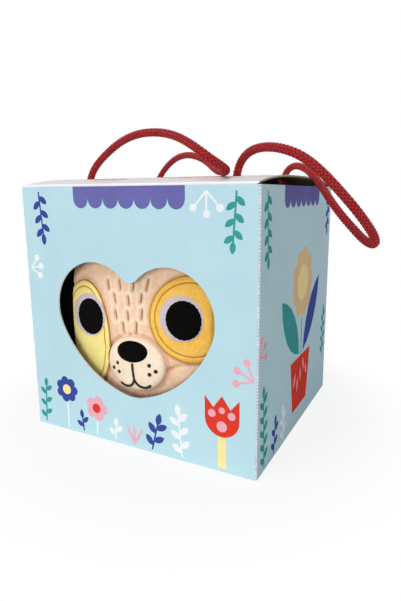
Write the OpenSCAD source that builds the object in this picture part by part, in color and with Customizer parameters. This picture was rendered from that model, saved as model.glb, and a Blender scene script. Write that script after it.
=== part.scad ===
// Soft fold-out book with a plush puppy face, in a card carrier box with a heart window and rope handles.
// Millimetres. The origin is the middle of the carton's base. The window faces -Y, the lid is hinged at +Y.

/* [Carton] */
// Width of the carton, left to right
box_w = 152; // [148:1:160]
// Depth of the carton, front to back
box_d = 142; // [138:1:150]
// Height of the four walls
box_h = 150; // [147:1:158]
// Thickness of the card
card_t = 1; // [0.8:0.1:1.2]
// Outer radius of the four upright folds
fold_r = 1.4; // [1.3:0.1:2]
// Width of the glue tab inside the back left fold
glue_tab_w = 15; // [10:1:20]
// Length of each dust flap from its fold
dust_flap_l = 40; // [34:1:42]
// Angle by which each dust flap droops
dust_flap_droop = 30; // [26:1:34]
// Gap between a dust flap and the front and back walls
dust_flap_gap = 9; // [7:1:14]
// Depth of the seam where the bottom flaps meet
seam_depth = 0.4; // [0.2:0.1:0.5]

/* [Heart window] */
// Half the distance between the centres of the two lobes
lobe_x = 24.4; // [23.5:0.1:25]
// Radius of each lobe
lobe_r = 27.9; // [27:0.1:29]
// Height of the lobes' centres above the base
lobe_z = 80.3; // [79:0.1:82]
// Radius of the rounded notch between the lobes
notch_r = 6.4; // [5:0.1:8]
// Radius of the sides below the lobes
heart_side_r = 66; // [64:1:70]
// Radius of the blunt tip
tip_r = 25; // [20:1:28]
// Height of the tip above the base
tip_z = 31.2; // [30:0.1:33]

/* [Lid] */
// Height of the lid's middle above the walls
lid_rise = 5.8; // [4:0.1:7]
// Height of the lid's folds above the walls
lid_edge_h = 1.4; // [1.3:0.1:1.8]
// Gap between the lid and each side wall's outer face
lid_inset = 1.5; // [1:0.1:2]
// Running gap between the lid and the carton
lid_gap = 0.3; // [0.2:0.1:0.5]
// Length of the tuck flap behind the front wall
tuck_l = 18; // [14:1:20]
// How far the tuck flap's end leans back from the front wall
tuck_lean = 1.8; // [1.6:0.1:2.4]
// Radius of the tuck flap's two corners
tuck_corner_r = 12; // [8:1:14]

/* [Rope handles] */
// Diameter of the braided rope
rope_d = 4.5; // [4:0.1:5]
// Distance of each rope hole from the middle, sideways
rope_hole_x = 50; // [49.5:0.5:50.5]
// Distance of each rope hole from the middle, front to back
rope_hole_y = 39; // [38.5:0.5:39.5]
// Diameter of the four rope holes in the lid
rope_hole_d = 6.8; // [6.4:0.1:7.4]
// Diameter of each knot under the lid
knot_d = 11; // [10:0.5:12]
// Height of each knot
knot_h = 9; // [8:0.5:10]
// Length of the rope's end below each knot
rope_end_l = 5; // [3:0.5:5]

/* [Soft book] */
// Gap between the left ear and the carton's side wall
ear_gap = 3.2; // [2:0.1:4]
// Height of the top of the book above the base
head_top = 124; // [120:1:126]
// Radius of the head's upper and lower corners
head_corner_r = 26; // [18:1:30]
// Shift of the book to the left of the carton's middle
book_shift = 3; // [2:0.5:3.5]
// Radius of the head's padded crown
crown_r = 150; // [140:2:170]
// Gap between the front wall's inner face and the middle of the face
face_back = 5; // [4.5:0.1:6]
// Thickness of the front cover's padding
face_cover_t = 31; // [28:1:33]
// Number of folded pages
page_n = 5; // [4:1:5]
// Length of a page between its folds
page_w = 92; // [80:1:96]
// How much lower than the head the pages are
page_drop = 10; // [6:1:14]
// Thickness of the back cover's padding
back_cover_t = 28; // [24:1:29]
// Gap between the book's back and the carton's back wall
book_slack = 9.2; // [8:0.2:11]
// Gap between sewn pieces, and between the book and the card
soft_gap = 0.3; // [0.2:0.1:0.4]
// Width of each ear
ear_w = 18.5; // [16:0.5:19]
// Height of the lower end of the ears
ear_low = 14; // [10:1:30]
// How far the ears' crown stands out from the face's
ear_proud = 2; // [1:0.5:4]

/* [Puppy face] */
// Angle by which the face tilts, right side up
face_tilt = 4; // [2:0.5:5]
// Height of the middle of the face
face_z = 66; // [65:0.5:67]
// Thickness of each layer of fabric on the face
felt_t = 0.9; // [0.7:0.1:1]
// Distance of each eye from the face's middle line
eye_x = 32; // [31:0.5:33]
// Height of the eyes above the face's middle
eye_up = 11; // [10:0.5:12]
// Distance of each eye patch from the face's middle line
patch_x = 37; // [36:0.5:38]
// Half width of the left eye patch
left_patch_rx = 20; // [19:0.5:21]
// Half height of the left eye patch
left_patch_ry = 34; // [32:0.5:35]
// How much lower than the eye the left patch's middle is
left_patch_drop = 13; // [12:0.5:15]
// Half width of the right eye patch
right_patch_rx = 25; // [23:0.5:26]
// Half height of the right eye patch
right_patch_ry = 24.5; // [23:0.5:26]
// How much lower than the eye the right patch's middle is
right_patch_drop = 1; // [0:0.5:2]
// Half width of an eye white
white_rx = 13; // [12.5:0.5:14]
// Half height of an eye white
white_ry = 13; // [12:0.5:14]
// Half width of a pupil
pupil_rx = 10.4; // [9.6:0.2:10.8]
// Half height of a pupil
pupil_ry = 11; // [9.6:0.2:11.2]
// How far both pupils look to the right
pupil_look = 1.6; // [0:0.2:1.6]
// Half width of the muzzle
muzzle_rx = 20; // [18:0.5:20]
// Half height of the muzzle
muzzle_ry = 16.5; // [15:0.5:17]
// How far the muzzle's middle is below the face's
muzzle_down = 16.5; // [16:0.5:18]
// Gap between the front wall's inner face and the muzzle
muzzle_back = 0.9; // [0.8:0.1:1.5]
// Half width of the nose
nose_rx = 10.5; // [9:0.5:11]
// Half height of the nose
nose_ry = 6.2; // [5:0.2:6.6]
// Cream border of the muzzle above the nose
nose_drop = 2.4; // [2:0.2:3]
// Radius of each curl of the mouth
mouth_r = 6; // [5:0.2:6.4]
// How far the mouth's curls are below the muzzle's middle
mouth_down = 7.6; // [7:0.2:8]
// Width of the mouth's stitched line
mouth_line = 1.6; // [1.2:0.1:2]
// Radius of a freckle
freckle_r = 1.2; // [1:0.1:1.5]

/* [Print] */
// Thickness of one layer of print
print_t = 0.1; // [0.1:0.05:0.2]
// Width of a printed banner
banner_w = 72; // [60:1:76]
// Height of a printed banner
banner_h = 12; // [10:0.5:13]
// Width of a printed stem
stem_w = 1; // [0.8:0.1:1.4]
// Length of a printed leaf
leaf_l = 7; // [6:0.1:7.5]
// Width of a printed leaf
leaf_w = 3.6; // [3:0.1:4]
// Step between a sprig's pairs of leaves
leaf_step = 8; // [7.5:0.1:8.5]
// Length of a printed berry's stem
berry_l = 10; // [8:0.5:11]
// Radius of a printed berry
berry_r = 2; // [1.6:0.1:2.2]
// Radius of the tulip
tulip_r = 10; // [9:0.5:11]
// Height of the flower pot's rim above the base
pot_top = 46; // [44:1:48]
// Radius of the big flower's ring of petals
flower_r = 15; // [14:0.5:16]
// Radius of the big flower's yellow middle
flower_middle_r = 11; // [10:0.5:12]
// Radius of the ring of petals on the lid
sun_r = 27; // [25:1:28]
// Radius of the red middle on the lid
sun_middle_r = 13; // [11:1:15]
// Radius of a big petal
petal_r = 7; // [6.5:0.5:7]

/* [Hidden] */

// Steps in the curves
corner_n = 6;
oval_n = 36;
arch_n = 28;
rope_n = 10;
round_fn = 48;

// Places that follow from the sizes above
inner_w = box_w - 2 * card_t;
inner_d = box_d - 2 * card_t;
lid_w = box_w - 2 * lid_inset;
lid_front = -inner_d / 2 + lid_gap;
lid_back = box_d / 2 - lid_gap;
lid_half = (lid_back - lid_front) / 2;
lid_mid = (lid_back + lid_front) / 2;
front_inside = -inner_d / 2;
face_front = front_inside + face_back;
crown_y = face_front + crown_r;
face_cover_back = face_front + face_cover_t;
pages_front = face_cover_back + soft_gap;
back_back = inner_d / 2 - book_slack;
back_front = back_back - back_cover_t;
page_pitch = (back_front - pages_front) / page_n;
page_t = page_pitch - soft_gap;
book_bottom = card_t + soft_gap;
head_h = head_top - book_bottom;
head_half_w = inner_w / 2 - book_shift - ear_gap - ear_w - soft_gap;
muzzle_front = front_inside + muzzle_back;
muzzle_rise = face_front - muzzle_front + muzzle_down * muzzle_down / crown_r / 2;
muzzle_r = (muzzle_rx * muzzle_rx + muzzle_rise * muzzle_rise) / muzzle_rise / 2;
knot_top = arch(rope_hole_y) - card_t - soft_gap;

// Handle routes: out of the front hole, over the right of the lid and back down into the back hole
right_route = [[49.5, -38.5, 153.6], [50.5, -39.5, 157.5], [53, -41.8, 161.5], [57.5, -46, 165],
    [63.5, -51.5, 167], [70.5, -57.5, 167.5], [78.5, -63.5, 166.8], [86.5, -68, 165], [94, -70, 162],
    [100.5, -70, 157.3], [106.5, -69, 151.5], [112.5, -67, 144.7], [117.5, -63, 138.3], [122, -57, 131],
    [124.5, -50, 125], [123, -42.5, 121.3], [118, -36, 122], [112, -30.5, 126.6], [104.5, -25, 133],
    [96, -17, 141], [87.5, -6, 150], [78, 8, 157.5], [68.5, 20.5, 162.2], [61, 29.5, 163.6], [55, 35.5, 162],
    [51.5, 38.5, 158], [50, 39.5, 153.6]];
left_route = [[-50.5, -39, 153.6], [-49, -39, 157.5], [-46, -39.5, 161.5], [-40.5, -40.5, 166],
    [-30.5, -43, 171.5], [-20, -46, 175.8], [-7, -50, 178.5], [6, -54, 178.6], [19, -59, 176.8],
    [30.5, -64.5, 173.2], [41, -69, 168], [50, -68.5, 161.5], [54, -60, 157.5], [48, -49.5, 156.7],
    [38.5, -37.5, 157.8], [29, -23, 160], [19.5, -9, 163], [8.5, 4, 167.3], [-3, 13, 170.8],
    [-16.5, 24, 173], [-30, 33, 171.8], [-40, 38, 167.2], [-46, 39.5, 162.2], [-49, 39.5, 157.8],
    [-50.5, 39, 153.6]];

// Points on an arc from angle a0 to a1
function arc(c, r, a0, a1, n) = [for (i = [0:n]) let (a = a0 + (a1 - a0) * i / n) c + r * [cos(a), sin(a)]];
// The right half of an outline, joined to its mirror image
function both_halves(p) = concat(p, [for (i = [len(p) - 1:-1:0]) [-p[i][0], p[i][1]]]);
function angle_of(v) = atan2(v[1], v[0]);
function oval(rx, ry) = [for (i = [0:oval_n - 1]) [rx * cos(360 * i / oval_n), ry * sin(360 * i / oval_n)]];
function rounded(w, h, r) = concat(arc([w / 2 - r, h / 2 - r], r, 0, 90, corner_n),
    arc([r - w / 2, h / 2 - r], r, 90, 180, corner_n), arc([r - w / 2, r - h / 2], r, 180, 270, corner_n),
    arc([w / 2 - r, r - h / 2], r, 270, 360, corner_n));
// A flap w wide that hangs down l from y = 0, with its two lower corners rounded
function flap(w, l, r) = concat([[w / 2, 0], [-w / 2, 0]], arc([r - w / 2, r - l], r, 180, 270, corner_n),
    arc([w / 2 - r, r - l], r, 270, 360, corner_n));

// The right half of the heart: tip, side, lobe and notch arcs, each tangent to the next
lobe_c = [lobe_x, lobe_z];
tip_c = [0, tip_z + tip_r];
tip_to_lobe = lobe_c - tip_c;
side_far = heart_side_r - tip_r;
side_near = heart_side_r - lobe_r;
along = (side_far * side_far - side_near * side_near + tip_to_lobe * tip_to_lobe) / norm(tip_to_lobe) / 2;
aside = sqrt(side_far * side_far - along * along);
lobe_dir = tip_to_lobe / norm(tip_to_lobe);
side_c = tip_c + along * lobe_dir + aside * [-lobe_dir[1], lobe_dir[0]];
notch_c = [0, lobe_z + sqrt(pow(lobe_r + notch_r, 2) - lobe_x * lobe_x)];
tip_angle = angle_of(tip_c - side_c);
lobe_angle = angle_of(lobe_c - side_c);
notch_angle = angle_of(notch_c - lobe_c);
heart = both_halves(concat(arc(tip_c, tip_r, -90, tip_angle, 4),
    arc(side_c, heart_side_r, tip_angle, lobe_angle, 12), arc(lobe_c, lobe_r, lobe_angle, notch_angle, 22),
    arc(notch_c, notch_r, notch_angle - 180, -90, 6)));

// Height of the lid's upper face at y: nearly level in the middle and steeper at its folds
function arch(y) = box_h + lid_edge_h + (lid_rise - lid_edge_h) * (1 - pow(abs(y - lid_mid) / lid_half, 3));
function arch_line(lift) = [for (i = [0:arch_n])
    let (y = lid_front + 2 * lid_half * i / arch_n) [y, arch(y) + lift]];
// A strip that follows the arch between two lifts above the lid's upper face
function arch_strip(low, high) = concat(arch_line(low), [for (i = [arch_n:-1:0]) arch_line(high)[i]]);

// Rope frame: each ring's first direction is carried along the route without twist
function unit(v) = v / norm(v);
function heading(p, i) = unit(p[min(i + 1, len(p) - 1)] - p[max(i - 1, 0)]);
function level_heading(p, i) = i == 0 || i == len(p) - 1 ? [0, 0, i == 0 ? 1 : -1] : heading(p, i);
function carried(u, t) = unit(u - (u * t) * t);
function sides(p, i, u) = i == len(p) ? [] :
    let (v = carried(u, level_heading(p, i))) concat([v], sides(p, i + 1, v));

// Lays a 2D outline as a layer of print on the front (0), right (1), back (2) or left (3) wall
module on_wall(side, layer = 0) {
    rotate([0, 0, 90 * side])
        translate([0, -wall_half(side + 1) - layer * print_t, 0])
            rotate([90, 0, 0])
                linear_extrude(print_t) children();
}

// Half the width of a wall
function wall_half(side) = (side % 2 == 0 ? box_w : box_d) / 2;

// Places a motif on a wall, at a percentage of the way from the wall's middle to its right edge
module at(side, percent, z, turn = 0) {
    translate([wall_half(side) * percent / 100, z])
        rotate(turn) children();
}

// Stands an outline in the XZ plane up from y = back to y = front
module standing(front, back) {
    translate([0, back, 0])
        rotate([90, 0, 0])
            linear_extrude(back - front) children();
}

module carton() {
    color("lightblue") {
        difference() {
            linear_extrude(box_h) polygon(rounded(box_w, box_d, fold_r));
            translate([0, 0, card_t])
                linear_extrude(box_h) polygon(rounded(inner_w, inner_d, fold_r - card_t));
            standing(-box_d / 2 - card_t, front_inside + card_t) polygon(heart);
            cube([inner_w, 2 * seam_depth, 2 * seam_depth], center = true);
        }
        translate([-inner_w / 2, inner_d / 2 - card_t, 0])
            cube([glue_tab_w, card_t + seam_depth, box_h - 2 * fold_r]);
        for (s = [0, 1])
            mirror([s, 0, 0]) dust_flap();
    }
}

module dust_flap() {
    flap_w = box_d - 2 * dust_flap_gap;
    translate([(box_w - card_t) / 2, 0, box_h - card_t / 2])
        rotate([0, -dust_flap_droop, 0])
            translate([0, 0, -card_t / 2])
                rotate([0, 0, -90])
                    linear_extrude(card_t) polygon(flap(flap_w, dust_flap_l, tuck_corner_r));
}

module lid() {
    color("aliceblue") difference() {
        union() {
            translate([-lid_w / 2, 0, 0])
                rotate([90, 0, 90])
                    linear_extrude(lid_w) polygon(arch_strip(-card_t, 0));
            tuck_flap();
        }
        for (x = [-rope_hole_x, rope_hole_x], y = [-rope_hole_y, rope_hole_y])
            translate([x, y, box_h])
                cylinder(h = 2 * lid_rise, d = rope_hole_d, $fn = round_fn);
    }
}

module tuck_flap() {
    lean = asin(tuck_lean / tuck_l);
    translate([0, lid_front, arch(lid_front) - card_t / 4])
        rotate([90 + lean, 0, 0])
            translate([0, 0, -card_t])
                linear_extrude(card_t) polygon(flap(lid_w - 2 * card_t, tuck_l, tuck_corner_r));
}

module rope(route) {
    last = len(route) - 1;
    normals = sides(route, 0, [1, 0, 0]);
    points = [for (i = [0:last], k = [0:rope_n - 1])
        let (n = normals[i], b = cross(level_heading(route, i), n), a = 360 * k / rope_n)
            route[i] + rope_d / 2 * (cos(a) * n + sin(a) * b)];
    walls = [for (i = [0:last - 1], k = [0:rope_n - 1])
        let (a = i * rope_n + k, b = i * rope_n + (k + 1) % rope_n)
            [a, a + rope_n, b + rope_n, b]];
    ends = [[for (k = [0:rope_n - 1]) k], [for (k = [rope_n - 1:-1:0]) last * rope_n + k]];
    color("firebrick") polyhedron(points, concat(walls, ends));
}

module left_rope() {
    rope(left_route);
}

module right_rope() {
    rope(right_route);
}

// A pulled-tight knot with a flat top where the rope leaves it, and the rope's short end below
module knot() {
    belly = knot_h / 2;
    rotate_extrude($fn = round_fn)
        polygon(concat([[0, -knot_h - rope_end_l], [rope_d / 2, -knot_h - rope_end_l]],
            [[rope_d / 2, -knot_h]], arc([knot_d / 2 - belly, -belly], belly, -70, 70, 10),
            [[rope_d / 2, 0], [0, 0]]));
}

module rope_knots(route) {
    for (end = [0, len(route) - 1])
        translate([route[end][0], route[end][1], min(route[end][2], knot_top)])
            color("firebrick") knot();
}

module left_rope_knots() {
    rope_knots(left_route);
}

module right_rope_knots() {
    rope_knots(right_route);
}

// The head's outline, seen from the front
module head_outline() {
    translate([-book_shift, book_bottom + head_h / 2])
        polygon(rounded(2 * head_half_w, head_h, head_corner_r));
}

// The part of a solid that lies between two lifts above the face's crown
module crown(low, high) {
    intersection() {
        difference() {
            translate([-book_shift, crown_y, face_z])
                sphere(crown_r + high, $fn = 4 * round_fn);
            if (low > -felt_t)
                translate([-book_shift, crown_y, face_z])
                    sphere(crown_r + low, $fn = 4 * round_fn);
        }
        children();
    }
}

// Outlines on the face, in the face's own tilted frame
module in_face(x, up, turn = 0) {
    translate([-book_shift, face_z])
        rotate(face_tilt)
            translate([x, up])
                rotate(turn) children();
}

module face_layer(layer) {
    crown(layer * felt_t, (layer + 1) * felt_t)
        standing(front_inside, face_cover_back - card_t) intersection() {
            children();
            head_outline();
        }
}

module face_cover() {
    color("peachpuff") crown(-crown_r, 0)
        standing(front_inside, face_cover_back) head_outline();
}

module back_cover() {
    color("peachpuff") intersection() {
        standing(back_front, back_back) head_outline();
        translate([-book_shift, back_back - crown_r, face_z])
            sphere(crown_r, $fn = 4 * round_fn);
    }
}

// Pages folded to and fro: flat leaves joined by half rings at alternate ends
module book_pages() {
    fold_out = page_t + soft_gap / 2;
    color("moccasin") translate([-book_shift, pages_front, book_bottom])
        linear_extrude(head_h - page_drop) {
            for (i = [0:page_n - 1])
                translate([-page_w / 2, i * page_pitch]) square([page_w, page_t]);
            for (i = [0:page_n - 2])
                translate([0, (i + 1) * page_pitch - soft_gap / 2])
                    rotate(180 * (i % 2))
                        translate([page_w / 2 - soft_gap, 0])
                            polygon(concat([[0, -fold_out]], arc([soft_gap, 0], fold_out, -90, 90, 12),
                                [[0, fold_out], [0, soft_gap / 2]],
                                arc([soft_gap, 0], soft_gap / 2, 90, -90, 6), [[0, -soft_gap / 2]]));
        }
}

module ear(side) {
    ear_h = head_top - ear_low;
    ear_x = side * (head_half_w + soft_gap + ear_w / 2) - book_shift;
    color("black") crown(-crown_r, ear_proud)
        standing(front_inside, face_cover_back) translate([ear_x, ear_low + ear_h / 2])
            polygon(rounded(ear_w, ear_h, ear_w / 2 - soft_gap));
}

module left_ear() {
    ear(-1);
}

module right_ear() {
    ear(1);
}

module left_eye_patch() {
    color("gold") face_layer(0) difference() {
        in_face(-patch_x, eye_up - left_patch_drop, -4) polygon(oval(left_patch_rx, left_patch_ry));
        muzzle_outline(soft_gap);
    }
}

module right_eye_patch() {
    color("gold") face_layer(0) difference() {
        in_face(patch_x, eye_up - right_patch_drop) polygon(oval(right_patch_rx, right_patch_ry));
        muzzle_outline(soft_gap);
    }
}

module left_eye_white() {
    color("lavenderblush") face_layer(1) in_face(-eye_x, eye_up) polygon(oval(white_rx, white_ry));
}

module right_eye_white() {
    color("lavenderblush") face_layer(1) in_face(eye_x, eye_up) polygon(oval(white_rx, white_ry));
}

module pupil(side) {
    color("black") face_layer(2)
        in_face(side * eye_x + pupil_look, eye_up - pupil_look / 2) polygon(oval(pupil_rx, pupil_ry));
}

module left_pupil() {
    pupil(-1);
}

module right_pupil() {
    pupil(1);
}

module muzzle_outline(grow = 0) {
    in_face(0, -muzzle_down) polygon(oval(muzzle_rx + grow, muzzle_ry + grow));
}

module muzzle_ball(low) {
    muzzle_x = muzzle_down * sin(face_tilt) - book_shift;
    translate([muzzle_x, muzzle_front + muzzle_r, face_z - muzzle_down * cos(face_tilt)])
        sphere(muzzle_r + low, $fn = 3 * round_fn);
}

module muzzle() {
    color("papayawhip") difference() {
        intersection() {
            muzzle_ball(-felt_t);
            standing(front_inside, crown_y) muzzle_outline();
        }
        translate([-book_shift, crown_y, face_z])
            sphere(crown_r, $fn = 4 * round_fn);
    }
}

// A thin layer of stitched fabric on the muzzle
module on_muzzle() {
    intersection() {
        difference() {
            muzzle_ball(0);
            muzzle_ball(-felt_t);
        }
        standing(front_inside, face_front + muzzle_rise) intersection() {
            children();
            muzzle_outline(-mouth_line);
        }
    }
}

nose_up = muzzle_ry - nose_ry - nose_drop;

module nose() {
    color("black") on_muzzle() in_face(0, nose_up - muzzle_down) polygon(oval(nose_rx, nose_ry));
}

// A stitched line down from the nose that ends in two upturned curls
module mouth() {
    half_line = mouth_line / 2;
    curl_c = [mouth_r, -mouth_down];
    meet = 180 + acos(mouth_r / (mouth_r + half_line));
    curl_end = 320;
    half_mouth = concat(arc(curl_c, mouth_r + half_line, meet, curl_end, 10),
        arc(curl_c, mouth_r - half_line, curl_end, 180, 12),
        [[half_line, nose_up - nose_ry - soft_gap]]);
    color("black") on_muzzle() in_face(0, -muzzle_down) polygon(both_halves(half_mouth));
}

module freckles() {
    color("black") on_muzzle() in_face(0, -muzzle_down)
        for (s = [-1, 1], spot = [[11, 0.4], [14.6, -3], [10.6, -5]])
            translate([s * spot[0], spot[1]]) circle(freckle_r, $fn = 16);
}

// Print motifs, each standing on its own origin
module leaf(l, w) {
    r = (l * l + w * w) / w / 4;
    half = asin(l / 2 / r);
    polygon(concat(arc([w / 2 - r, l / 2], r, -half, half, 6),
        arc([r - w / 2, l / 2], r, 180 - half, 180 + half, 6)));
}

module leaf_sprig(n, size = 1) {
    l = size * leaf_l;
    w = size * leaf_w;
    translate([-stem_w / 2, 0]) square([stem_w, n * leaf_step + l / 4]);
    for (i = [1:n], s = [-1, 1])
        translate([0, (i - 1 / 2 + s / 6) * leaf_step]) rotate(-50 * s) leaf(l, w);
    translate([0, n * leaf_step]) leaf(l, w);
}

module berry_sprig(size = 1) {
    for (a = [-42, 0, 42])
        rotate(a) {
            stem(size * berry_l);
            translate([0, size * berry_l]) circle(berry_r, $fn = 20);
        }
}

module tuft(h) {
    for (a = [-28, 0, 24])
        rotate(a) leaf(h, h / 7);
}

module blossom(n, ring_r, petal_r) {
    circle(ring_r, $fn = 24);
    for (i = [0:n - 1])
        rotate(360 * i / n) translate([ring_r, 0]) circle(petal_r, $fn = 20);
}

module stem(l) {
    translate([-stem_w / 2, 0]) square([stem_w, l]);
}

module banner() {
    scallop_n = 7;
    scallop_r = banner_w / scallop_n / 2;
    translate([-banner_w / 2, scallop_r - banner_h]) square([banner_w, banner_h - scallop_r]);
    for (i = [0:scallop_n - 1])
        translate([(2 * i + 1) * scallop_r - banner_w / 2, scallop_r - banner_h])
            circle(scallop_r - stem_w / 8, $fn = 28);
}

// A round cup with three points
module tulip() {
    polygon(concat(arc([0, 0], tulip_r, 180, 360, 16), tulip_r * [[1, 1.2], [0.5, 0.6], [0, 1.3],
        [-0.5, 0.6], [-1, 1.2]]));
}

// Places of the flowers: the percentage that at() takes, and the height above the base
tulip_at = [74, 30];
blue_flower_at = [-66, 27];
pink_flower_at = [-36, 19];
big_flower_at = [6, 92];
top_z = box_h - 2 * fold_r;
foot_z = 2;

module purple_print() {
    color("slateblue") for (side = [0:3])
        on_wall(side) translate([0, box_h]) banner();
}

module teal_print() {
    color("lightseagreen") {
        for (side = [0, 2])
            on_wall(side) {
                at(side, 84, top_z, 176) leaf_sprig(3, 0.9);
                at(side, -91, foot_z, -4) leaf_sprig(3, 0.85);
            }
        for (side = [1, 3])
            on_wall(side) {
                at(side, -87, top_z, 184) leaf_sprig(4, 0.95);
                at(side, -85, foot_z, 3) leaf_sprig(5);
                at(side, 85, foot_z + 26) leaf_sprig(4, 0.95);
            }
        on_wall(1) {
            at(1, big_flower_at[0], pot_top) stem(big_flower_at[1] - pot_top - flower_r - petal_r);
            at(1, big_flower_at[0] - 6, pot_top + 1, 42) leaf(54, 19);
        }
    }
}

module navy_print() {
    color("darkslateblue") {
        for (side = [0, 2])
            on_wall(side) {
                at(side, -82, top_z, 184) leaf_sprig(3);
                at(side, 16, foot_z, -14) leaf_sprig(2, 1.1);
                at(side, -50, foot_z, 6) leaf_sprig(1, 0.85);
            }
        for (side = [1, 3])
            on_wall(side) {
                at(side, 87, top_z, 178) leaf_sprig(3, 0.9);
                at(side, -63, foot_z, -6) leaf_sprig(2, 0.95);
            }
        on_wall(1) at(1, big_flower_at[0] + 6, pot_top + 1, -38) leaf(56, 17);
        on_wall(0) at(0, blue_flower_at[0], blue_flower_at[1]) blossom(7, 5.6, 2.9);
    }
}

module white_print() {
    color("azure") {
        on_wall(0) {
            at(0, blue_flower_at[0], foot_z) stem(blue_flower_at[1] - foot_z - 9);
            at(0, pink_flower_at[0], foot_z) stem(pink_flower_at[1] - foot_z - 9);
            at(0, -95, 102, -80) berry_sprig(0.8);
        }
        for (side = [0, 2])
            on_wall(side) {
                at(side, 42, foot_z, 5) leaf_sprig(3, 1.05);
                at(side, -18, foot_z, -3) leaf_sprig(1, 0.9);
                at(side, 63, top_z, 180) berry_sprig(1.1);
            }
        for (side = [1, 3])
            on_wall(side) at(side, -39, foot_z, 4) leaf_sprig(2);
    }
}

module pink_print() {
    color("lightpink") {
        on_wall(0) {
            at(0, pink_flower_at[0], pink_flower_at[1]) blossom(5, 4.4, 3.6);
            at(0, 97, 54, 64) berry_sprig();
        }
        on_wall(0, 1)
            at(0, tulip_at[0], tulip_at[1])
                for (spot = [[0, -4, 3], [-5.8, 2.6, 2.2], [5.6, 2.8, 2.2], [0, 5, 1.8]])
                    translate([spot[0], spot[1]]) circle(spot[2], $fn = 20);
        for (side = [0, 2])
            on_wall(side) translate([0, foot_z]) tuft(13);
        for (side = [1, 3])
            on_wall(side) at(side, -98, 66, -60) berry_sprig(0.9);
        on_wall(1, 1)
            for (i = [-2:2])
                at(1, big_flower_at[0] + 10 * i, 28 + 5 * (i % 2), 12 * i) leaf(9, 2.4);
    }
}

module red_print() {
    pot_half = 21;
    color("orangered") {
        on_wall(0) at(0, tulip_at[0], tulip_at[1]) tulip();
        on_wall(0, 1) at(0, pink_flower_at[0], pink_flower_at[1]) circle(3, $fn = 24);
        on_wall(1) at(1, big_flower_at[0], pot_top - 1)
            polygon([[6 - pot_half, 1 - 3 / 4 * pot_top], [pot_half - 6, 1 - 3 / 4 * pot_top], [pot_half, 0],
                [-pot_half, 0]]);
    }
}

module yellow_print() {
    color("khaki") {
        on_wall(0) at(0, tulip_at[0], foot_z)
            translate([-5 / 2, 0]) square([5, tulip_at[1] - foot_z - tulip_r]);
        on_wall(0, 1) at(0, blue_flower_at[0], blue_flower_at[1]) circle(3.2, $fn = 24);
        on_wall(1, 1) at(1, big_flower_at[0], big_flower_at[1]) circle(flower_middle_r, $fn = 32);
    }
}

module peach_print() {
    color("navajowhite") on_wall(1) at(1, big_flower_at[0], big_flower_at[1])
        blossom(9, flower_r, petal_r);
}

// Moves to a place on the lid, given as percentages of its half width and half depth
module at_lid(across, along) {
    translate([across / 200 * lid_w, along / 100 * lid_half]) children();
}

// Print on the lid: an outline drawn in plan, laid over the arch
module on_lid(layer = 0) {
    intersection() {
        translate([-lid_w / 2, 0, 0])
            rotate([90, 0, 90])
                linear_extrude(lid_w) polygon(arch_strip(layer * print_t, (layer + 1) * print_t));
        translate([0, 0, box_h])
            linear_extrude(2 * lid_rise) children();
    }
}

sun_at = [30, -17];

module lid_orange_print() {
    color("orange") on_lid() at_lid(sun_at[0], sun_at[1]) blossom(12, sun_r, petal_r);
}

module lid_red_print() {
    color("orangered") on_lid(1) at_lid(sun_at[0], sun_at[1]) circle(sun_middle_r, $fn = 32);
}

module lid_leaf_print() {
    color("plum") on_lid() {
        for (spot = [[-16, -74, 78], [-27, 43, 60], [46, 88, 95]])
            at_lid(spot[0], spot[1]) rotate(spot[2]) leaf_sprig(3, 1.1);
    }
}

carton();
lid();
left_rope();
right_rope();
left_rope_knots();
right_rope_knots();
face_cover();
book_pages();
back_cover();
left_ear();
right_ear();
left_eye_patch();
right_eye_patch();
left_eye_white();
right_eye_white();
left_pupil();
right_pupil();
muzzle();
nose();
mouth();
freckles();
purple_print();
teal_print();
navy_print();
white_print();
pink_print();
red_print();
yellow_print();
peach_print();
lid_orange_print();
lid_red_print();
lid_leaf_print();
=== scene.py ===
import math
import random

import bpy
import numpy as np
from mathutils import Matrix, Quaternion, Vector, noise


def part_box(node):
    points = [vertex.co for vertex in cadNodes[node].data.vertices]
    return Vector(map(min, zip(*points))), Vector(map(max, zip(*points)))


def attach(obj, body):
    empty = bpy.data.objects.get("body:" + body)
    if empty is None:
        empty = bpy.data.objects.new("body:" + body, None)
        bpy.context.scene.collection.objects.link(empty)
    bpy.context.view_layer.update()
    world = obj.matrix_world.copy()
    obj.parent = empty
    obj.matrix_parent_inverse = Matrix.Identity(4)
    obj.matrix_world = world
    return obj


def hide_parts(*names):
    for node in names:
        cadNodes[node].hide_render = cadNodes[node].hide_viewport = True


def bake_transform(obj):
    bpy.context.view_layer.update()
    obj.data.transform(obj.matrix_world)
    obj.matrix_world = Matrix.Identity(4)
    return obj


# Looks of the boxed soft book. Shapes are worked out in millimetres and become metres as each mesh is made.

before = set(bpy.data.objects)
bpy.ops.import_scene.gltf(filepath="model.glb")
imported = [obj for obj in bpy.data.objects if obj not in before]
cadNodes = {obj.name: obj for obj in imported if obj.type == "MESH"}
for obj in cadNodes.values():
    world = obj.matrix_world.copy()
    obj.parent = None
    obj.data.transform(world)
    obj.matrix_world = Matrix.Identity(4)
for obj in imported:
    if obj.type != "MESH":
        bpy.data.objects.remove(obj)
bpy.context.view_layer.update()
mm = 0.001
print("frame loaded,", len(cadNodes), "nodes")


# camera, at the place and angle that the photograph was taken from
camera = {"place": (155.2, -280.8, 145.7), "azimuth": 26.74, "down": 11.33, "roll": -0.26,
          "lens": 28.67, "shiftX": -0.0154, "shiftY": -0.0179}


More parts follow.
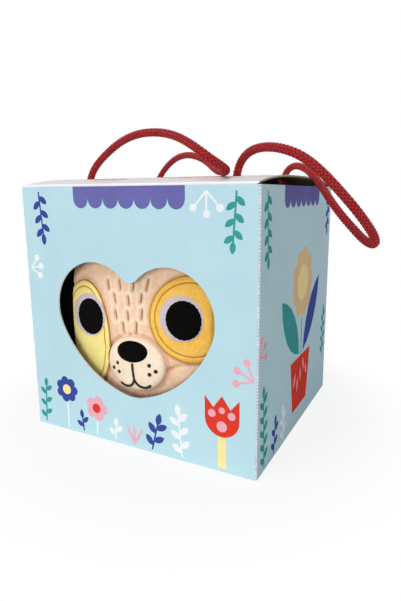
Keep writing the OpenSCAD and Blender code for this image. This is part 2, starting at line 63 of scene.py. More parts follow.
def makeCamera(c):
    azimuth, down = math.radians(c["azimuth"]), math.radians(c["down"])
    look = Vector((-math.sin(azimuth) * math.cos(down), math.cos(azimuth) * math.cos(down), -math.sin(down)))
    data = bpy.data.cameras.new("camera")
    data.sensor_width = 36
    data.lens = c["lens"]
    data.shift_x, data.shift_y = c["shiftX"], c["shiftY"]
    data.clip_start, data.clip_end = 0.01, 20
    view = bpy.data.objects.new("camera", data)
    view.location = Vector(c["place"]) * mm
    view.rotation_mode = "QUATERNION"
    view.rotation_quaternion = look.to_track_quat("-Z", "Y") @ Quaternion((0, 0, 1), math.radians(c["roll"]))
    bpy.context.scene.collection.objects.link(view)
    bpy.context.scene.camera = view


makeCamera(camera)
bpy.context.scene.view_settings.view_transform = "Standard"


# node trees

def srgb(red, green, blue):
    return tuple(v / 3295 if v < 11 else ((v / 255 + 0.055) / 1.055) ** 2.4 for v in (red, green, blue))


def makeNode(tree, kind, **settings):
    made = tree.nodes.new("ShaderNode" + kind)
    for key, value in settings.items():
        setattr(made, key, value)
    return made


def plug(tree, socket, value):  # a link where value is a socket, and a fixed value otherwise
    if isinstance(value, bpy.types.NodeSocket):
        tree.links.new(value, socket)
    elif socket.type == "RGBA":
        socket.default_value = (*value, 1)
    else:
        socket.default_value = value


def calc(tree, operation, *values):
    made = makeNode(tree, "Math", operation=operation)
    for socket, value in zip(made.inputs, values):
        plug(tree, socket, value)
    return made.outputs[0]


def ramp(tree, value, low, high):  # 0 below low, 1 above high
    made = makeNode(tree, "MapRange", interpolation_type="SMOOTHSTEP")
    for key, given in (("Value", value), ("From Min", low), ("From Max", high)):
        plug(tree, made.inputs[key], given)
    return made.outputs[0]


def mix(tree, share, a, b):
    made = makeNode(tree, "Mix", data_type="RGBA")
    for index, value in ((0, share), (6, a), (7, b)):
        plug(tree, made.inputs[index], value)
    return made.outputs[2]


def speckle(tree, place, scale, detail=2, stretch=None):
    if stretch:
        mapped = makeNode(tree, "Mapping")
        plug(tree, mapped.inputs["Vector"], place)
        mapped.inputs["Scale"].default_value = stretch
        place = mapped.outputs[0]
    made = makeNode(tree, "TexNoise")
    plug(tree, made.inputs["Vector"], place)
    made.inputs["Scale"].default_value = scale
    made.inputs["Detail"].default_value = detail
    return made.outputs["Fac"]


def relief(tree, height, distance):
    made = makeNode(tree, "Bump")
    made.inputs["Strength"].default_value = 1.0
    made.inputs["Distance"].default_value = distance
    plug(tree, made.inputs["Height"], height)
    return made.outputs[0]


def objectPlace(tree):
    return makeNode(tree, "TexCoord").outputs["Object"]


def split(tree, vector):
    made = makeNode(tree, "SeparateXYZ")
    plug(tree, made.inputs[0], vector)
    return made.outputs


def makeMaterial(name, paint, roughness=0.6, specular=0.3, sheen=0.0):
    made = bpy.data.materials.new(name)
    made.use_nodes = True
    tree = made.node_tree
    shader = tree.nodes["Principled BSDF"]
    shader.inputs["Roughness"].default_value = roughness
    shader.inputs["Specular IOR Level"].default_value = specular
    shader.inputs["Sheen Weight"].default_value = sheen
    shader.inputs["Sheen Roughness"].default_value = 0.45
    colour, normal = paint(tree)
    plug(tree, shader.inputs["Base Color"], colour)
    plug(tree, shader.inputs["Normal"], normal)
    return made


# floor, backdrop and light
stageLook = {"floor": srgb(250, 250, 250), "glow": 0.85, "clearFrom": 0.09, "clearTo": 0.17, "radius": 6,
             "sides": 64, "drop": -0.0003}
lights = {"world": 0.21, "tint": (1.0, 0.94, 0.96),
          "key": {"strength": 1.15, "angle": 40, "comesFrom": (-0.25, -0.6, 1.0)},
          "fill": {"strength": 1.6, "angle": 26, "comesFrom": (0.32, -1.0, 0.17)}}


def roundTurn(count):  # even angles once round
    return np.linspace(0, 2 * math.pi, count + 1)[:-1]


def makeStage(s):
    rim = [(s["radius"] * math.cos(a), s["radius"] * math.sin(a), s["drop"]) for a in roundTurn(s["sides"])]
    mesh = bpy.data.meshes.new("floor")
    mesh.from_pydata(rim, [], [tuple(range(len(rim)))])
    floor = bpy.data.objects.new("floor", mesh)
    bpy.context.scene.collection.objects.link(floor)
    made = bpy.data.materials.new("floorPaper")
    made.use_nodes = True
    tree = made.node_tree
    shader = tree.nodes["Principled BSDF"]
    shader.inputs["Base Color"].default_value = (*s["floor"], 1)
    shader.inputs["Roughness"].default_value = 0.9
    shader.inputs["Specular IOR Level"].default_value = 0
    far = makeNode(tree, "VectorMath", operation="LENGTH")
    plug(tree, far.inputs[0], objectPlace(tree))
    white = makeNode(tree, "Emission")
    seen = makeNode(tree, "LightPath").outputs["Is Camera Ray"]
    both = makeNode(tree, "MixShader")
    distant = ramp(tree, far.outputs["Value"], s["clearFrom"], s["clearTo"])
    clear = calc(tree, "MULTIPLY_ADD", distant, 1 - s["glow"], s["glow"])
    plug(tree, both.inputs[0], calc(tree, "MULTIPLY", seen, clear))
    plug(tree, both.inputs[1], shader.outputs[0])
    plug(tree, both.inputs[2], white.outputs[0])
    plug(tree, tree.nodes["Material Output"].inputs["Surface"], both.outputs[0])
    mesh.materials.append(made)


def makeLights(s):
    world = bpy.data.worlds.new("studio")
    world.use_nodes = True
    tree = world.node_tree
    path = makeNode(tree, "LightPath")
    seen = calc(tree, "MAXIMUM", path.outputs["Is Camera Ray"], path.outputs["Is Glossy Ray"])
    background = tree.nodes["Background"]
    plug(tree, background.inputs["Color"], mix(tree, seen, s["tint"], (1, 1, 1)))
    plug(tree, background.inputs["Strength"],
         calc(tree, "ADD", calc(tree, "MULTIPLY", seen, 1 - s["world"]), s["world"]))
    bpy.context.scene.world = world
    for name in ("key", "fill"):
        sun = bpy.data.lights.new(name, "SUN")
        sun.energy, sun.angle = s[name]["strength"], math.radians(s[name]["angle"])
        lamp = bpy.data.objects.new(name, sun)
        lamp.rotation_mode = "QUATERNION"
        lamp.rotation_quaternion = (-Vector(s[name]["comesFrom"])).to_track_quat("-Z", "Y")
        bpy.context.scene.collection.objects.link(lamp)


makeStage(stageLook)
makeLights(lights)
print("camera, floor and light made")


# meshes

def addPiece(name, points, faces, materials, slot, body="carton", uv=None, faceMaterial=None, shade=None):
    mesh = bpy.data.meshes.new(name)
    mesh.from_pydata((np.asarray(points) * mm).tolist(), [], faces)
    for material in materials:
        mesh.materials.append(material)
    mesh.polygons.foreach_set("use_smooth", [True] * len(faces))
    if faceMaterial is not None:
        mesh.polygons.foreach_set("material_index", faceMaterial)
    if uv is not None:
        corners = np.empty(len(mesh.loops), int)
        mesh.loops.foreach_get("vertex_index", corners)
        mesh.uv_layers.new(name="threads").data.foreach_set("uv", np.asarray(uv, float)[corners].ravel())
    if shade is not None:
        tone = mesh.attributes.new("shade", "FLOAT", "POINT")
        tone.data.foreach_set("value", np.asarray(shade, np.float32))
    mesh.update()
    piece = bpy.data.objects.new(name, mesh)
    bpy.context.scene.collection.objects.link(piece)
    if body:
        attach(piece, body)
    return piece


def joined(parts):  # parts are (points, faces, uv) and become one
    points, faces, uv = [], [], []
    for somePoints, someFaces, someUv in parts:
        faces += [tuple(int(i) + len(points) for i in face) for face in someFaces]
        points += np.asarray(somePoints).tolist()
        uv += np.asarray(someUv).tolist()
    return points, faces, uv


def tubeFaces(rings, sides):
    return [(a + k, a + (k + 1) % sides, a + sides + (k + 1) % sides, a + sides + k)
            for a in range(0, (rings - 1) * sides, sides) for k in range(sides)]


def tubeCaps(rings, sides):  # the flat ends of a tube
    last = sides * (rings - 1)
    return [tuple(range(sides - 1, -1, -1)), tuple(range(last, last + sides))]


def roughen(points, size, depth, seed=0.0):  # soft noise for each point, between -depth and depth
    places = [Vector((p[0] / size + seed, p[1] / size, p[2] / size)) for p in points]
    return np.array([noise.noise(place) for place in places]) * depth


def roughenFace(x, z, size, depth, seed=0.0):  # the same noise over the plane of the face
    return roughen(np.stack([x, z, x * 0], -1).reshape(-1, 3), size, depth, seed).reshape(x.shape)


# braided rope
# the rope's two colours: its red with a painted highlight, and painted shade for the gaps between the strands
ropeLook = {"diameter": 4.6, "strands": 6, "lead": 13.0, "wave": 0.3, "thick": 0.8, "wide": 1.56,
            "step": 0.32, "core": 1.4, "coreSides": 8, "coreSkip": 4, "yarns": 19, "yarnSlant": 2,
            "fibre": 900, "lit": srgb(206, 28, 32), "gapShade": srgb(20, 0, 4)}
rightRoute = [(49.5, -38.5, 153.6), (50.5, -39.5, 157.5), (53, -41.8, 161.5), (57.5, -46, 165),
              (63.5, -51.5, 167), (70.5, -57.5, 167.5), (78.5, -63.5, 166.8), (86.5, -68, 165),
              (94, -70, 162), (100.5, -70, 157.3), (106.5, -69, 151.5), (112.5, -67, 144.7),
              (117.5, -63, 138.3), (122, -57, 131), (124.5, -50, 125), (123, -42.5, 121.3), (118, -36, 122),
              (112, -30.5, 126.6), (104.5, -25, 133), (96, -17, 141), (87.5, -6, 150), (78, 8, 157.5),
              (68.5, 20.5, 162.2), (61, 29.5, 163.6), (55, 35.5, 162), (51.5, 38.5, 158), (50, 39.5, 153.6)]
leftRoute = [(-50.5, -39, 153.6), (-49, -39, 157.5), (-46, -39.5, 161.5), (-40.5, -40.5, 166),
             (-30.5, -43, 171.5), (-20, -46, 175.8), (-7, -50, 178.5), (6, -54, 178.6), (19, -59, 176.8),
             (30.5, -64.5, 173.2), (41, -69, 168), (50, -68.5, 161.5), (54, -60, 157.5), (48, -49.5, 156.7),
             (38.5, -37.5, 157.8), (29, -23, 160), (19.5, -9, 163), (8.5, 4, 167.3), (-3, 13, 170.8),
             (-16.5, 24, 173), (-30, 33, 171.8), (-40, 38, 167.2), (-46, 39.5, 162.2), (-49, 39.5, 157.8),
             (-50.5, 39, 153.6)]


def smoothLine(route, step):  # an even line along a cubic spline that rounds the route's points
    p = np.array([*route], float)
    p = np.vstack([2 * p[0] - p[1], p, 2 * p[-1] - p[-2]])
    t = np.linspace(0, 1, 24, endpoint=False)[:, None]
    spans = [((1 - t) ** 3 * a + (3 * t ** 3 - 6 * t ** 2 + 4) * b
              + (-3 * t ** 3 + 3 * t ** 2 + 3 * t + 1) * c + t ** 3 * d) / 6
             for a, b, c, d in zip(p, p[1:], p[2:], p[3:])]
    line = np.vstack([*spans, (p[-3] + 4 * p[-2] + p[-1])[None] / 6])
    along = np.concatenate([[0], np.cumsum(np.linalg.norm(np.diff(line, axis=0), axis=1))])
    even = np.linspace(0, along[-1], max(2, round(along[-1] / step)) + 1)
    return np.stack([np.interp(even, along, line[:, k]) for k in range(3)], 1), even


def carriedFrame(line):  # directions beside the line that don't twist along it
    ahead = np.gradient(line, axis=0)
    ahead /= np.linalg.norm(ahead, axis=1)[:, None]
    side = np.cross(ahead[0], (0.3, 0.9, 0.1))
    sides = []
    for direction in ahead:
        side = side - side @ direction * direction
        side = side / np.linalg.norm(side)
        sides.append(side)
    sides = np.array(sides)
    return ahead, sides, np.cross(ahead, sides)


def braid(line, along, r):  # strands that pass over and under each other round a core
    ahead, side, up = carriedFrame(line)
    middle = r["diameter"] / 2 - r["wave"] - r["thick"] / 2
    parts = []
    for turn in (-1, 1):
        for strand in range(r["strands"]):
            angle = turn * 2 * math.pi * along / r["lead"] + 2 * math.pi * strand / r["strands"]
            out = np.cos(angle)[:, None] * side + np.sin(angle)[:, None] * up
            around = -np.sin(angle)[:, None] * side + np.cos(angle)[:, None] * up
            radius = middle + turn * r["wave"] * np.cos(2 * math.pi * r["strands"] * along / r["lead"])
            centre = line + out * radius[:, None]
            run = ahead + turn * (2 * math.pi * middle / r["lead"]) * around
            run /= np.linalg.norm(run, axis=1)[:, None]
            across = np.cross(out, run) * r["wide"] / 2
            high = out * r["thick"] / 2
            ring = np.stack([centre + across, centre + high, centre - across, centre - high], 1)
            uv = np.stack([np.repeat(along, 4), np.tile([0.0, 0.5, 1.0, 0.5], len(line)) + 2 * strand], 1)
            parts.append((ring.reshape(-1, 3), tubeFaces(len(line), 4) + tubeCaps(len(line), 4), uv))
    few = slice(None, None, r["coreSkip"])
    a = roundTurn(r["coreSides"])
    core = (line[few, None] + r["core"] * (np.cos(a)[None, :, None] * side[few, None]
            + np.sin(a)[None, :, None] * up[few, None])).reshape(-1, 3)
    size = len(line[few]), r["coreSides"]
    parts.append((core, tubeFaces(*size) + tubeCaps(*size), np.full((len(core), 2), -5.0)))
    return joined(parts)


def ropePaint(tree):
    r = ropeLook
    uv = split(tree, makeNode(tree, "TexCoord").outputs["UV"])
    across = calc(tree, "FRACT", calc(tree, "MULTIPLY", uv[1], 0.5))  # 0 to 0.5 across each strand
    # painted highlight on each strand's crown, and painted shade at its edges and on the core between the
    # strands
    crown = calc(tree, "POWER", calc(tree, "SINE", calc(tree, "MULTIPLY", across, 2 * math.pi)), 1.3)
    slant = calc(tree, "MULTIPLY", uv[0], r["yarnSlant"])
    yarn = calc(tree, "SINE", calc(tree, "ADD", calc(tree, "MULTIPLY", uv[1], r["yarns"]), slant))
    fibre = speckle(tree, objectPlace(tree), r["fibre"], 3)
    fibreAndHighlight = calc(tree, "MULTIPLY_ADD", fibre, 0.4, calc(tree, "MULTIPLY", crown, 0.8))
    share = calc(tree, "MULTIPLY_ADD", yarn, 0.1, fibreAndHighlight)
    return mix(tree, share, r["gapShade"], r["lit"]), relief(tree, yarn, 0.0001)


ropeCloth = makeMaterial("braidedRope", ropePaint, roughness=0.5, specular=0.3, sheen=0.06)
knotShape = {"wide": 1.06, "tall": 2.1, "middle": -4.6, "tail": 5.0, "height": 9.0}


def knotRoute(top, k):  # into a pulled-tight overhand knot and out below as a short tail
    turn = np.linspace(0.5, 2 * math.pi + 0.2, 26)
    loop = [(k["wide"] * (math.sin(t) + 2 * math.sin(2 * t)), k["wide"] * (math.cos(t) - 2 * math.cos(2 * t)),
             k["middle"] - k["tall"] * math.sin(3 * t)) for t in turn]
    route = [(0, 0, -0.2), *loop, (0, 0, -k["height"]), (0, 0, -k["height"] - k["tail"] / 2),
             (0, 0, -k["height"] - k["tail"])]
    return [tuple(np.add(p, top)) for p in route]


def makeRope(name, route, node, knotNode):
    line, along = smoothLine(route, ropeLook["step"])
    points, faces, uv = braid(line, along, ropeLook)
    rope = addPiece(name, points, faces, [ropeCloth], "rope_red", "lid", uv)
    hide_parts(node)
    knots = []
    for end in (0, -1):
        knotLine, knotAlong = smoothLine(knotRoute(route[end], knotShape), 0.5)
        knots.append(braid(knotLine, knotAlong, ropeLook))
    points, faces, uv = joined(knots)
    knot = addPiece(name + "Knots", points, faces, [ropeCloth], "rope_red", "lid", uv)
    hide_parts(knotNode)
    print(name, "is", round(float(along[-1])), "mm long")


makeRope("leftHandle", leftRoute, "left_rope", "left_rope_knots")
makeRope("rightHandle", rightRoute, "right_rope", "right_rope_knots")


# card and print
# white is the paper's own white for rubbed wear and the board's core, and on the lid the card's light blue
# painted near-white for the light from above
card = {"ink": srgb(187, 222, 231), "shade": srgb(184, 219, 229), "white": srgb(250, 249, 251),
        "board": srgb(172, 161, 142), "boardDark": srgb(154, 143, 124), "ply": srgb(104, 92, 76),
        "dash": srgb(196, 120, 176), "dashStep": 0.0017, "dashShare": 0.75,
        "halfW": 0.076, "halfD": 0.071, "height": 0.15, "skin": 0.0003, "lining": 0.00075, "fade": 0.00008,
        "foldWidth": 0.0011, "rub": (0.0006, 0.0017), "rimWear": 0.0007, "wearShare": 0.6, "edgeNoise": 1300,
        "edgeWobble": 0.00035, "bendLift": 12.0, "crumpleLift": 2.5, "reliefDepth": 0.00006, "roughness": 0.5}
lidShape = {"height": 0.1514, "rise": 0.0044, "middle": 0.0005, "half": 0.0702, "front": -0.0697,
            "lean": 0.1005, "foldSkin": (0.00035, 0.0006), "skin": (0.00018, 0.00026), "ply": 0.00066,
            "plyHalf": (0.00004, 0.00008), "edgeWobble": 0.0002}


def boardColour(tree, place):
    fibres = speckle(tree, place, 700, 4, (1, 1, 0.35))
    return mix(tree, ramp(tree, fibres, 0.3, 0.75), card["boardDark"], card["board"])


def cardRelief(tree, place, crumple=0.0):  # fine grain, and faint dents and bends of a thin panel
    grain = speckle(tree, place, 1700, 3)
    bends = speckle(tree, place, 22, 2, (1.6, 1.6, 0.7))
    lift = calc(tree, "MULTIPLY_ADD", crumple, card["crumpleLift"], grain)
    lift = calc(tree, "MULTIPLY_ADD", bends, card["bendLift"], lift)
    return relief(tree, lift, card["reliefDepth"])


def edgeWobble(tree, place, width):  # how far a printed edge strays
    stray = calc(tree, "SUBTRACT", speckle(tree, place, card["edgeNoise"]), 0.5)
    return calc(tree, "MULTIPLY", stray, width)


def opposite(tree, value):
    return calc(tree, "SUBTRACT", 1.0, value)


def cartonPaint(tree):  # print on the outer skin, and bare board on cut edges and inside
    c = card
    place = objectPlace(tree)
    x, y, z = split(tree, place)
    wobble = edgeWobble(tree, place, c["edgeWobble"])
    inX = calc(tree, "SUBTRACT", c["halfW"], calc(tree, "ABSOLUTE", x))
    inY = calc(tree, "SUBTRACT", c["halfD"], calc(tree, "ABSOLUTE", y))
    depth = calc(tree, "ADD", calc(tree, "MINIMUM", calc(tree, "MINIMUM", inX, inY), z), wobble)
    outside = opposite(tree, ramp(tree, depth, c["skin"], c["skin"] + c["fade"]))
    inner = ramp(tree, depth, c["lining"], c["lining"] + c["fade"])
    fromFold = calc(tree, "ADD", inX, inY)
    onFold = opposite(tree, ramp(tree, fromFold, c["foldWidth"] * 0.75, c["foldWidth"]))
    dash = ramp(tree, calc(tree, "FRACT", calc(tree, "DIVIDE", z, c["dashStep"])), 0.42, 0.5)
    printed = mix(tree, ramp(tree, speckle(tree, place, 45), 0.35, 0.65), c["ink"], c["shade"])
    dashed = calc(tree, "MULTIPLY", calc(tree, "MULTIPLY", onFold, dash), c["dashShare"])
    printed = mix(tree, dashed, printed, c["dash"])
    rub = opposite(tree, ramp(tree, calc(tree, "MULTIPLY_ADD", wobble, 4.0, fromFold), *c["rub"]))
    rim = ramp(tree, calc(tree, "MULTIPLY_ADD", wobble, 3.0, z), c["height"] - c["rimWear"], c["height"])
    scuffs = ramp(tree, speckle(tree, place, 260, 3), 0.5, 0.66)
    worn = calc(tree, "MULTIPLY", calc(tree, "MAXIMUM", rub, rim), scuffs)
    printed = mix(tree, calc(tree, "MULTIPLY", worn, c["wearShare"]), printed, c["white"])
    ply = mix(tree, inner, c["white"], boardColour(tree, place))
    crumple = calc(tree, "ABSOLUTE", calc(tree, "SUBTRACT", speckle(tree, place, 13, 1, (1, 1.6, 0.8)), 0.5))
    crumple = calc(tree, "MULTIPLY", ramp(tree, crumple, 0.0, 0.05), ramp(tree, inX, 0.0005, 0.0))
    return mix(tree, outside, ply, printed), cardRelief(tree, place, crumple)


def lidPaint(tree):  # painted light on top, where the light blue card is painted near-white for the light from above, white on the tuck flap's outer face, and board elsewhere
    c, s = card, lidShape
    place = objectPlace(tree)
    y, z = split(tree, place)[1:]
    behind = calc(tree, "SUBTRACT", y, s["front"] + s["lean"] * s["height"])
    behind = calc(tree, "MULTIPLY_ADD", z, s["lean"], behind)
    offFold = ramp(tree, behind, *s["foldSkin"])
    away = calc(tree, "DIVIDE", calc(tree, "SUBTRACT", y, s["middle"]), s["half"])
    arch = calc(tree, "MULTIPLY_ADD", calc(tree, "POWER", calc(tree, "ABSOLUTE", away), 3.0), -s["rise"],
                s["height"] + s["rise"])
    depth = calc(tree, "ADD", calc(tree, "SUBTRACT", arch, z), edgeWobble(tree, place, s["edgeWobble"]))
    fromPly = calc(tree, "ABSOLUTE", calc(tree, "SUBTRACT", depth, s["ply"]))
    board = mix(tree, ramp(tree, fromPly, *s["plyHalf"]), c["ply"], boardColour(tree, place))
    raw = calc(tree, "MULTIPLY", ramp(tree, depth, *s["skin"]), offFold)
    return mix(tree, raw, c["white"], board), cardRelief(tree, place)


def inkPaint(colour):
    def paint(tree):
        place = objectPlace(tree)
        darker = tuple(v * 0.88 for v in colour)
        grain = ramp(tree, speckle(tree, place, 900, 3), 0.3, 0.7)
        patches = ramp(tree, speckle(tree, place, 60), 0.3, 0.7)
        share = calc(tree, "MULTIPLY", calc(tree, "ADD", grain, patches), 0.5)
        return mix(tree, share, colour, darker), cardRelief(tree, place)
    return paint


inks = {"purple_print": srgb(112, 110, 178), "teal_print": srgb(62, 160, 160),
        "navy_print": srgb(60, 78, 158), "white_print": srgb(242, 249, 252),
        "pink_print": srgb(242, 178, 194), "red_print": srgb(228, 62, 46),
        "yellow_print": srgb(252, 236, 164), "peach_print": srgb(236, 204, 160),
        "lid_orange_print": srgb(252, 126, 16), "lid_red_print": srgb(228, 62, 46),
        "lid_leaf_print": srgb(222, 176, 208)}
inkFinish = {"roughness": 0.7, "specular": 0.05}


def coverNode(name, material):
    mesh = cadNodes[name].data
    mesh.materials.clear()
    mesh.materials.append(material)


coverNode("carton", makeMaterial("printedCarton", cartonPaint, card["roughness"]))
coverNode("lid", makeMaterial("litWhiteLid", lidPaint, card["roughness"]))
for nodeName, inkColour in inks.items():
    coverNode(nodeName, makeMaterial(nodeName + "Ink", inkPaint(inkColour), **inkFinish))
print("card and print covered")

crease = {"halfWidth": 74.0, "y": 71.25, "low": 147.0, "fold": 150.4, "lidStart": 70.3, "reach": 66.8,
          "bend": [(71.15, 151.0), (70.8, 151.45)], "lift": 0.16, "thick": 0.12, "columns": 40}


def creasePaint(tree):  # blue print on the wall, and on the lid the card painted near-white for the light from above, by the mesh's shade value
    over = makeNode(tree, "Attribute", attribute_name="shade").outputs["Fac"]
    colour = mix(tree, ramp(tree, over, 0.4, 0.6), card["ink"], card["white"])
    return colour, cardRelief(tree, objectPlace(tree))


def lidTop(y):  # the arched top's height over y, both in millimetres
    s = lidShape
    return 1000 * (s["height"] + s["rise"] * (1 - abs((y / 1000 - s["middle"]) / s["half"]) ** 3))


def makeCrease(c):  # the skin that runs over the fold at the back wall and onto the lid, printed blue on the wall and painted near-white on the lid for the light from above
    wall = [(c["y"], z) for z in np.linspace(c["low"], c["fold"], 5)]
    over = [(y, lidTop(y) + c["lift"]) for y in np.linspace(c["lidStart"], c["reach"], 6)]
    profile = wall + c["bend"] + over
    upright = len(wall) + 1  # the points that are backed from inside the wall, the others from below
    back = [(y - c["thick"], z - 0.02) for y, z in profile[:upright]]
    back += [(y, z - c["thick"]) for y, z in profile[upright:]]
    ring = profile + back[::-1]
    across = np.linspace(-c["halfWidth"], c["halfWidth"], c["columns"])
    points = [(x, y, z) for x in across for y, z in ring]
    size = len(across), len(ring)
    tone = [0] * len(wall) + [1] * (len(profile) - len(wall))
    skin = makeMaterial("printedAndLitCrease", creasePaint, card["roughness"])
    strip = addPiece("backCrease", points, tubeFaces(*size) + tubeCaps(*size), [skin], "card_blue", None,
                     shade=(tone + tone[::-1]) * len(across))
    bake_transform(strip)


makeCrease(crease)


# the plush book

book = {"shift": -3.0, "faceZ": 66.0, "crownY": 85.0, "crownR": 150.0, "tilt": 4.0, "halfW": 50.0,
        "low": 1.3, "high": 124.0, "corner": 26.0, "coverBack": -34.3, "muzzleFront": -69.1,
        "muzzleDown": 16.5, "muzzleHalf": (20.0, 16.5), "muzzleDome": 0.6, "crownDome": 0.6,
        "inset": 0.3, "columns": 181, "edge": 3.5, "drop": 3.5}
rise = -book["muzzleFront"] + book["crownY"] - book["crownR"] + book["muzzleDown"] ** 2 / book["crownR"] / 2
muzzleR = (book["muzzleHalf"][0] ** 2 + rise ** 2) / rise / 2
muzzleX = book["shift"] + book["muzzleDown"] * math.sin(math.radians(book["tilt"]))
muzzleZ = book["faceZ"] - book["muzzleDown"] * math.cos(math.radians(book["tilt"]))


def fromFace(u, v):  # the face's own tilted plane, to the book's x and z
    a = math.radians(book["tilt"])
    return book["shift"] + u * np.cos(a) - v * np.sin(a), book["faceZ"] + u * np.sin(a) + v * np.cos(a)


def toFace(x, z):
    a = math.radians(book["tilt"])
    x, z = x - book["shift"], z - book["faceZ"]
    return x * np.cos(a) + z * np.sin(a), -x * np.sin(a) + z * np.cos(a)


def crownY(x, z, lift=0.0):  # the head's padded crown, pressed flatter by the card in front of it
    away = (x - book["shift"]) ** 2 + (z - book["faceZ"]) ** 2
    fall = book["crownR"] - np.sqrt(book["crownR"] ** 2 - away)
    return book["crownY"] - book["crownR"] + fall * book["crownDome"] - lift


def muzzleY(x, z, lift=0.0):
    away = (x - muzzleX) ** 2 + (z - muzzleZ) ** 2
    return book["muzzleFront"] + (muzzleR - np.sqrt(muzzleR ** 2 - away)) * book["muzzleDome"] - lift


def ovalInside(rx, ry, u0=0.0, v0=0.0, turn=0.0):
    a = math.radians(turn)

    def inside(u, v):
        p = (u - u0) * np.cos(a) + (v - v0) * np.sin(a)
        q = -(u - u0) * np.sin(a) + (v - v0) * np.cos(a)
        return (p / rx) ** 2 + (q / ry) ** 2 < 1
    return inside


def boxInside(halfW, halfH, corner):
    def inside(u, v):
        p, q = np.abs(u) - (halfW - corner), np.abs(v) - (halfH - corner)
        return np.hypot(np.maximum(p, 0), np.maximum(q, 0)) + np.minimum(np.maximum(p, q), 0) < corner
    return inside


def reach(inside, angles, far=120.0):  # how far an outline lies from its middle, in each direction
    low, high = np.zeros(len(angles)), np.full(len(angles), far)
    for _ in range(40):
        half = (low + high) / 2
        within = inside(half * np.cos(angles), half * np.sin(angles))
        low, high = np.where(within, half, low), np.where(within, high, half)
    return low


cloths = {"nap": 1300, "napStreak": (1, 1, 0.45), "napTufts": 160, "napDepth": 0.0004,
          "stitchPitch": 0.5, "stitchSlant": 0.6, "stitchDepth": 0.00015,
          "weavePitch": 0.00045, "weaveDepth": 0.00012}


def plushPaint(colour, dim, grooveShade=None, ridgeHighlight=None):
    def paint(tree):  # the third colour is painted shade where the mesh's shade value is above 0, and the fourth a painted highlight where it is below 0
        place = objectPlace(tree)
        fine = speckle(tree, place, cloths["nap"], 4, cloths["napStreak"])
        broad = speckle(tree, place, cloths["napTufts"], 3)
        share = calc(tree, "ADD", calc(tree, "MULTIPLY", ramp(tree, fine, 0.3, 0.7), 0.5),
                     calc(tree, "MULTIPLY", ramp(tree, broad, 0.35, 0.7), 0.4))
        pile = mix(tree, share, colour, dim)
        if grooveShade:
            shade = makeNode(tree, "Attribute", attribute_name="shade").outputs["Fac"]
            pile = mix(tree, calc(tree, "MULTIPLY", shade, -1.0), mix(tree, shade, pile, grooveShade), ridgeHighlight)
        return pile, relief(tree, calc(tree, "MULTIPLY_ADD", broad, 2.0, fine), cloths["napDepth"])
    return paint


def threadPaint(colour, shade):  # satin stitches side by side along u
    def paint(tree):
        uv = split(tree, makeNode(tree, "TexCoord").outputs["UV"])
        slant = calc(tree, "ADD", uv[0], calc(tree, "MULTIPLY", uv[1], cloths["stitchSlant"]))
        turns = calc(tree, "MULTIPLY", slant, 2 * math.pi / cloths["stitchPitch"])
        wander = calc(tree, "MULTIPLY", speckle(tree, objectPlace(tree), 700), 1.2)
        wave = calc(tree, "SINE", calc(tree, "ADD", turns, wander))
        thread = mix(tree, ramp(tree, wave, -0.8, 0.7), shade, colour)
        return thread, relief(tree, wave, cloths["stitchDepth"])
    return paint


def weavePaint(colour, shade):
    def paint(tree):
        place = objectPlace(tree)
        x, _, z = split(tree, place)
        warp, weft = (calc(tree, "SINE", calc(tree, "MULTIPLY", way, 2 * math.pi / cloths["weavePitch"]))
                      for way in (x, z))
        weave = calc(tree, "ADD", calc(tree, "MULTIPLY", warp, weft), speckle(tree, place, 900, 3))
        cloth = mix(tree, ramp(tree, weave, -0.6, 1.3), shade, colour)
        return cloth, relief(tree, weave, cloths["weaveDepth"])
    return paint


def makePlush(name, colour, dim, grooveShade=None, ridgeHighlight=None, specular=0.1, sheen=0.35):
    return makeMaterial(name, plushPaint(colour, dim, grooveShade, ridgeHighlight), 0.95, specular, sheen)


# the third colour of each face plush is painted shade for its grooves and seams, the fourth a painted
# highlight for its ridges
peachPlush = makePlush("peachPlush", srgb(255, 222, 190), srgb(240, 194, 158), srgb(190, 132, 96),
                       srgb(255, 240, 216))
creamPlush = makePlush("creamPlush", srgb(255, 240, 218), srgb(250, 220, 190), srgb(206, 152, 116),
                       srgb(255, 246, 230))
yellowPlush = makePlush("yellowPlush", srgb(255, 210, 104), srgb(244, 182, 66))
# the yellow plush made lighter for the left eye patch: painted light, for the light that falls more strongly
# on the left
litYellowPlush = makePlush("litYellowPlush", srgb(255, 244, 158), srgb(255, 228, 126))
blackPlush = makePlush("blackPlush", srgb(10, 9, 8), srgb(4, 3, 3), specular=0.05, sheen=0.03)
amberThread = makeMaterial("amberThread", threadPaint(srgb(246, 184, 66), srgb(216, 146, 36)), 0.6, 0.3, 0.1)
blackThread = makeMaterial("blackThread", threadPaint(srgb(20, 17, 17), srgb(5, 4, 4)), 0.5, 0.3, 0.1)
tanThread = makeMaterial("tanThread", threadPaint(srgb(192, 138, 100), srgb(152, 102, 70)), 0.8, 0.2, 0.1)
eyeCloth = makeMaterial("eyeCloth", weavePaint(srgb(250, 236, 240), srgb(224, 204, 212)), 0.9, 0.15, 0.2)
pageCloth = makeMaterial("pageCloth", weavePaint(srgb(252, 242, 222), srgb(234, 218, 190)), 0.9, 0.2, 0.3)

# quilting stitches that pull the forehead's pile down, in the face's own frame
quilting = {"rows": [(4, 29.0), (3, 20.5), (3, 12.0), (2, 4.0)], "step": 9.4, "middle": -2.4, "half": 2.9,
            "lean": -0.9, "dent": 1.1, "dentWidth": 1.0, "ridge": 0.75, "ridgeAt": 2.4, "ridgeWidth": 0.8,
            "wander": 0.7, "seed": 7}
stitches = {"width": 0.7, "high": 0.25, "base": 0.05}
seams = {"muzzleDent": 1.0, "muzzleWidth": 1.1, "muzzleOut": 0.8, "patchDent": 0.6, "patchWidth": 0.9,
         "patchOut": 0.6, "foldDent": 1.3, "foldWidth": 1.1}


